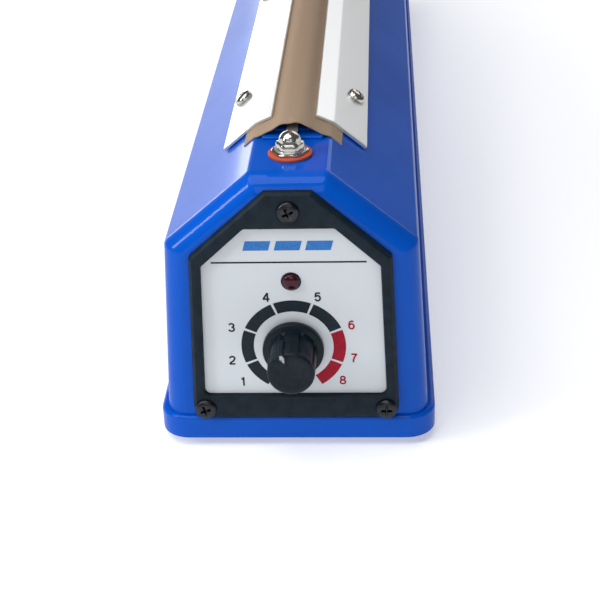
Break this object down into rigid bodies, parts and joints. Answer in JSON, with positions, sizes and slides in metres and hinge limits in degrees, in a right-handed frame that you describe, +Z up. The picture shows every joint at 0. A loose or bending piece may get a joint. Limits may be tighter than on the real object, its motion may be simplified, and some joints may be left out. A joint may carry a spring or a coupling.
{
  "type": "impulse heat sealer",
  "caption": "Bench-top impulse bag sealer: ridge-topped housing with a dial panel, clamped release cloth over a heating strip, and a sprung pressing arm on a rear hinge.",
  "frame": {"origin": "on the surface the feet stand on, under the middle of the whole length from dial knob to cable gland", "axes": "+X to the right of someone facing the dial, +Y from the dial to the hinge, +Z up"},
  "size_m": [0.085, 0.482, 0.2316],
  "materials": {
    "blue_paint": "gloss enamel on cast aluminium",
    "zinc_plate": "zinc-plated sheet steel",
    "foot_rubber": "matt",
    "black_plastic": "fine moulded grain",
    "label_film": "printed satin film",
    "black_steel": "black oxide",
    "lamp_red": "unlit red lens",
    "bright_steel": "bright nickel",
    "board_green": "solder mask",
    "relay_case": "moulded case",
    "bakelite": "pressed resin board",
    "release_cloth": "coated glass cloth",
    "tinned_strip": "tinned, lightly pitted",
    "satin_aluminium": "satin anodised",
    "red_fibre": "vulcanised fibre",
    "core_steel": "varnished laminations",
    "coil_wrap": "taped winding",
    "lead_cover": "silicone sleeve",
    "fuse_glass": "clear",
    "brass_bush": "turned",
    "silicone_rubber": "satin"
  },
  "bodies": {
    "base": {"body_shell": "blue_paint", "base_plate": "zinc_plate", "base_plate_screws": "zinc_plate", "rubber_feet": "foot_rubber", "front_bezel": "black_plastic", "front_label": "label_film", "bezel_screws": "black_steel", "lamp_lens": "lamp_red", "potentiometer": "zinc_plate", "pot_nut": "bright_steel", "timer_board": "board_green", "relay": "relay_case", "terminal_block": "relay_case", "board_capacitors": "black_plastic", "element_bar": "bakelite", "insulation_tape": "release_cloth", "heating_element": "tinned_strip", "ptfe_cloth": "release_cloth", "clamp_left": "satin_aluminium", "clamp_right": "satin_aluminium", "clamp_screws": "bright_steel", "fibre_washers": "red_fibre", "contact_washers": "bright_steel", "cap_nuts": "bright_steel", "terminal_studs": "bright_steel", "stud_nuts": "bright_steel", "hinge_bracket": "zinc_plate", "hinge_screws": "bright_steel", "hinge_pin": "bright_steel", "pin_clips": "black_steel", "spring_seat": "zinc_plate", "microswitch": "black_plastic", "switch_bracket": "zinc_plate", "switch_screws": "bright_steel", "chassis_screws": "zinc_plate", "transformer_core": "core_steel", "transformer_coil": "coil_wrap", "transformer_strap": "zinc_plate", "front_lead": "lead_cover", "rear_lead": "lead_cover", "cable_gland": "black_plastic", "gland_nut": "black_plastic", "fuse_holder": "black_plastic", "fuse_cap": "black_plastic", "fuse": "fuse_glass"},
    "arm": {"arm_channel": "zinc_plate", "arm_bushes": "brass_bush", "strip_holder": "satin_aluminium", "silicone_strip": "silicone_rubber", "arm_cover": "blue_paint", "arm_grip": "black_plastic", "arm_side_screws": "bright_steel", "holder_screws": "bright_steel", "striker": "bright_steel", "return_spring": "bright_steel"},
    "knob": {"timer_knob": "black_plastic", "pot_shaft": "bright_steel"},
    "plunger": {"switch_plunger": "black_plastic"},
    "lever": {"switch_lever": "bright_steel"}
  },
  "joints": [
    {"name": "arm_swing", "type": "hinge", "parent": "base", "child": "arm", "pos_m": [0, 0.183, 0.111], "axis": [1, 0, 0], "range_deg": [0, 16], "stiffness_Nm_per_rad": 4, "springref_deg": -28.65, "deforming": ["return_spring"]},
    {"name": "dial_turn", "type": "hinge", "parent": "base", "child": "knob", "pos_m": [0, -0.2244, 0.0354], "axis": [0, 1, 0], "range_deg": [-127.5, 172.5]},
    {"name": "plunger_press", "type": "slide", "parent": "base", "child": "plunger", "axis": [0, 0, -1], "range_m": [0, 0.0025]},
    {"name": "lever_tilt", "type": "hinge", "parent": "base", "child": "lever", "pos_m": [0, 0.131, 0.0551], "axis": [-1, 0, 0], "range_deg": [0, 8]}
  ],
  "couplings": [
    {"joint": "plunger_press", "follows": "arm_swing", "m_per_rad": 0.00895},
    {"joint": "lever_tilt", "follows": "arm_swing", "ratio": 0.4999}
  ]
}
